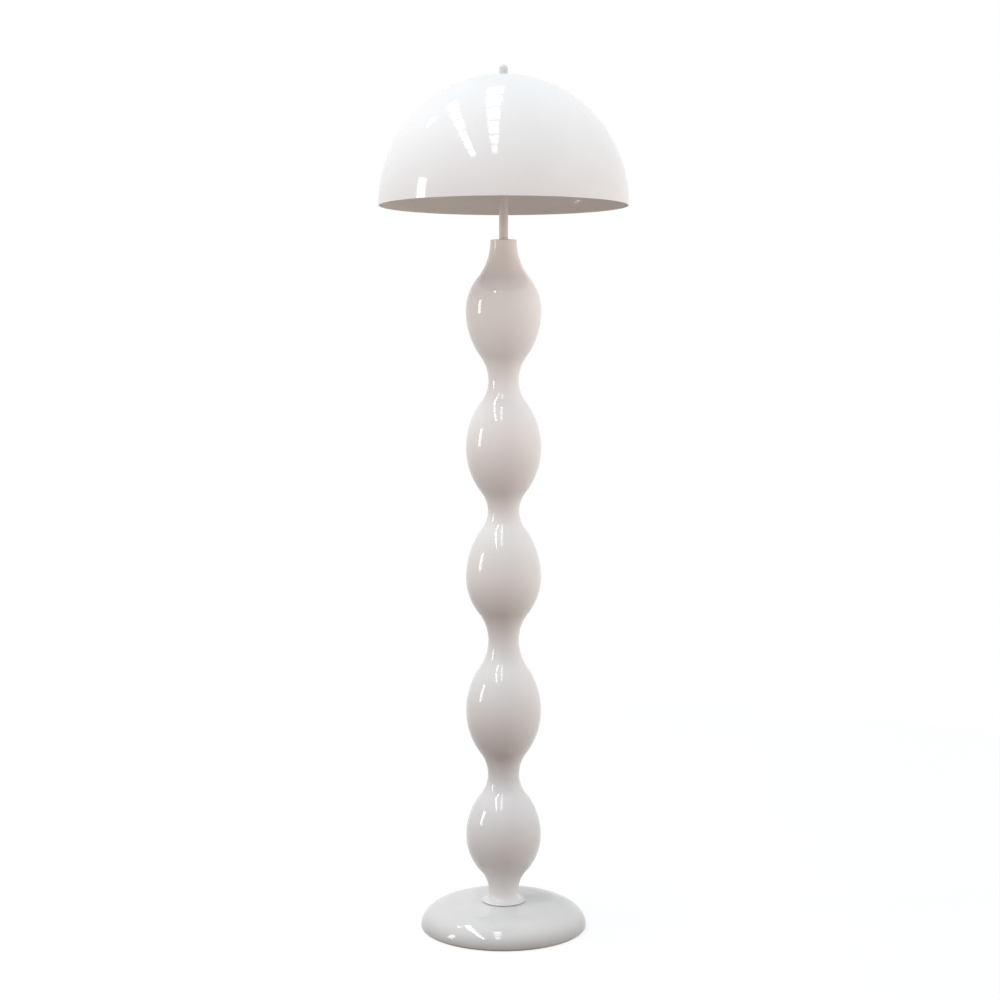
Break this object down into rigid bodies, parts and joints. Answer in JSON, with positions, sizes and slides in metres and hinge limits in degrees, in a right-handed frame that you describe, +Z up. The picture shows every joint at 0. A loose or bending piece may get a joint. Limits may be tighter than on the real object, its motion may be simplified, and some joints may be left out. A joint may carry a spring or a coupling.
{
  "type": "floor lamp",
  "caption": "Gloss white floor lamp: a round pebble base, a column of stacked bulb shapes, a slim stem and a half-egg shade over a harp and a screw-in bulb.",
  "frame": {"origin": "on the floor, on the lamp's upright axis", "axes": "+Z up along the column and stem; -Y is the front, +Y the cord inlet, X along the harp's width"},
  "size_m": [0.45, 0.45, 1.56],
  "materials": {
    "white_lacquer": "gloss",
    "white_paint": "gloss",
    "iron": "matte",
    "steel": "satin",
    "brass": "satin",
    "felt": "matte",
    "rubber": "matte",
    "black_plastic": "matte",
    "lamp_glass": "gloss",
    "lamp_metal": "satin"
  },
  "bodies": {
    "stand": {"base_shell": "white_lacquer", "base_weight": "iron", "base_plate": "steel", "base_felt": "felt", "cord_bushing": "rubber", "clamp_washer": "steel", "clamp_nut": "steel", "plate_screw_1": "steel", "plate_screw_2": "steel", "plate_screw_3": "steel", "foot_gasket": "rubber", "foot_bush": "black_plastic", "column_shell": "white_lacquer", "column_cap": "white_lacquer", "stem_tube": "white_paint", "stop_pin": "steel", "stem_grommet": "rubber", "stem_plug": "brass", "nipple": "brass", "harp_saddle": "brass", "saddle_nut": "brass", "harp_bow": "brass", "harp_stud": "brass", "holder_cup": "brass", "holder_shell": "brass", "holder_core": "black_plastic", "thread_shell": "brass", "centre_contact": "brass"},
    "sleeve_left": {"harp_sleeve_left": "brass"},
    "sleeve_right": {"harp_sleeve_right": "brass"},
    "switch": {"switch_key": "black_plastic"},
    "lamp": {"lamp_cap": "lamp_metal", "lamp_glass": "lamp_glass"},
    "shade": {"shade": "white_lacquer"},
    "finial": {"finial": "white_paint"}
  },
  "joints": [
    {"name": "shade_swivel", "type": "hinge", "parent": "stand", "child": "shade", "pos_m": [0, 0, 1.5407], "axis": [0, 0, 1], "continuous": true},
    {"name": "finial_turn", "type": "hinge", "parent": "stand", "child": "finial", "pos_m": [0, 0, 1.549], "axis": [0, 0, 1], "continuous": true},
    {"name": "lamp_turn", "type": "hinge", "parent": "stand", "child": "lamp", "pos_m": [0, 0, 1.39], "axis": [0, 0, 1], "continuous": true},
    {"name": "switch_turn", "type": "hinge", "parent": "stand", "child": "switch", "pos_m": [0, -0.03, 1.3629], "axis": [0, -1, 0], "continuous": true},
    {"name": "sleeve_left_lift", "type": "slide", "parent": "stand", "child": "sleeve_left", "axis": [0, 0, 1], "range_m": [0, 0.012]},
    {"name": "sleeve_right_lift", "type": "slide", "parent": "stand", "child": "sleeve_right", "axis": [0, 0, 1], "range_m": [0, 0.012]}
  ]
}
